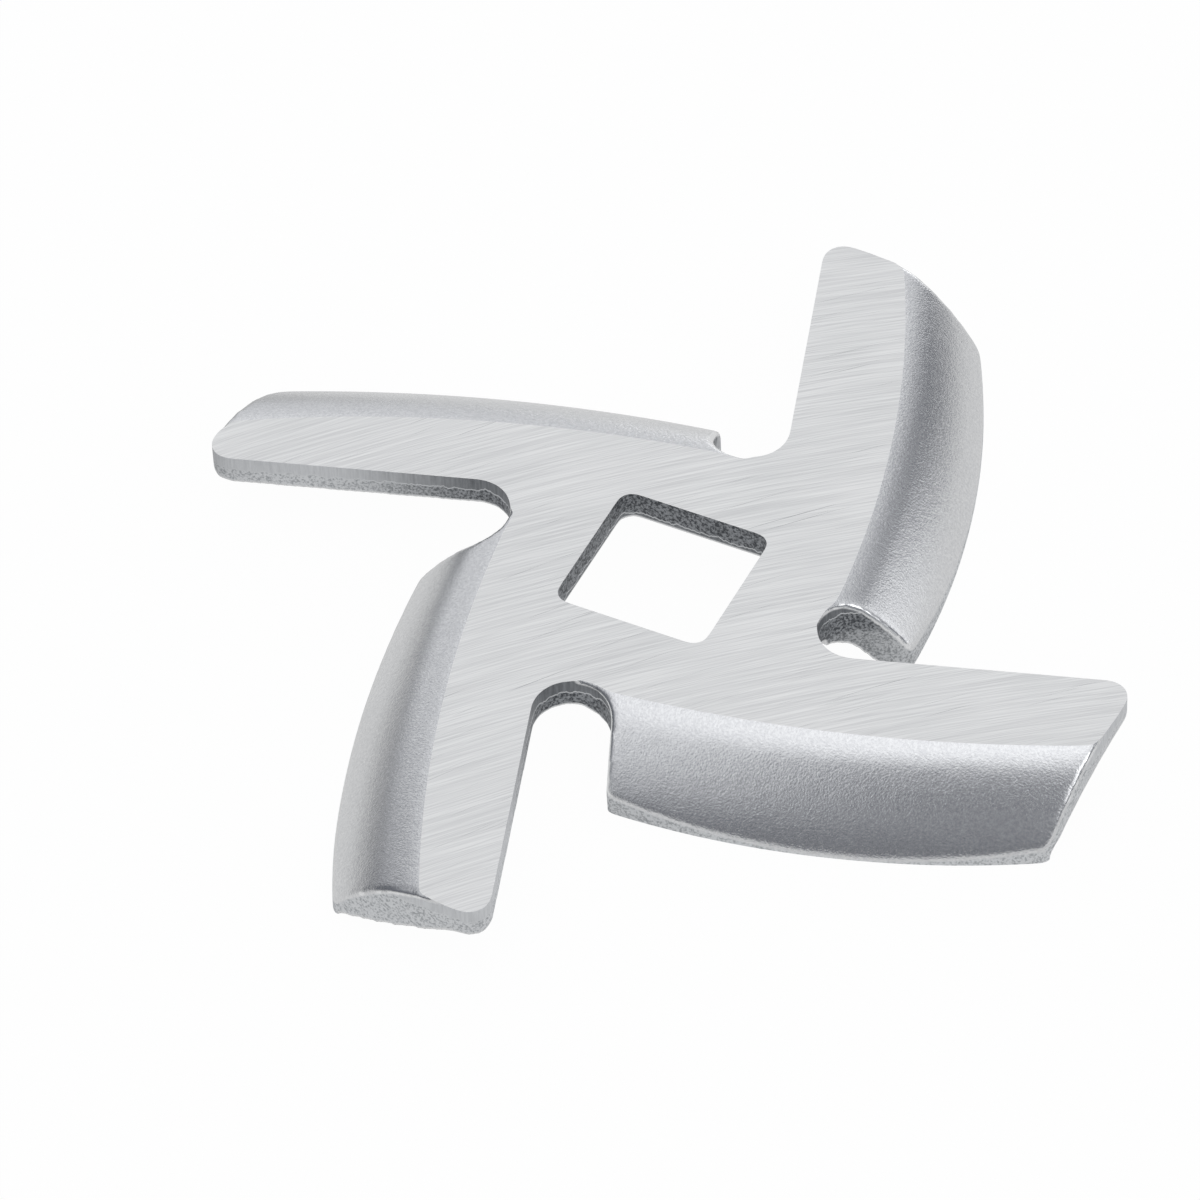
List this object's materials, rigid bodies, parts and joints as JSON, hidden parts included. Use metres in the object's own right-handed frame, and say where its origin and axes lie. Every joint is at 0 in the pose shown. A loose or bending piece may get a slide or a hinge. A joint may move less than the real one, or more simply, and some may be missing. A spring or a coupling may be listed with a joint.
{
  "type": "meat grinder knife",
  "caption": "Pressed steel grinder knife: a pinwheel of arms with straight cutting edges, a flat ground top, curved flanks bent down behind it, and a square drive hole.",
  "frame": {"origin": "on the knife's axis, at the level that the rims of the flanks stand on", "axes": "+Z along the axis towards the ground face, +X and +Y square to the sides of the drive hole"},
  "size_m": [0.046, 0.046, 0.0041],
  "materials": {
    "steel": "ground on top, satin on the pressed flanks, rough on the punched walls"
  },
  "bodies": {
    "root": {"grinder_knife": "steel"}
  },
  "joints": []
}
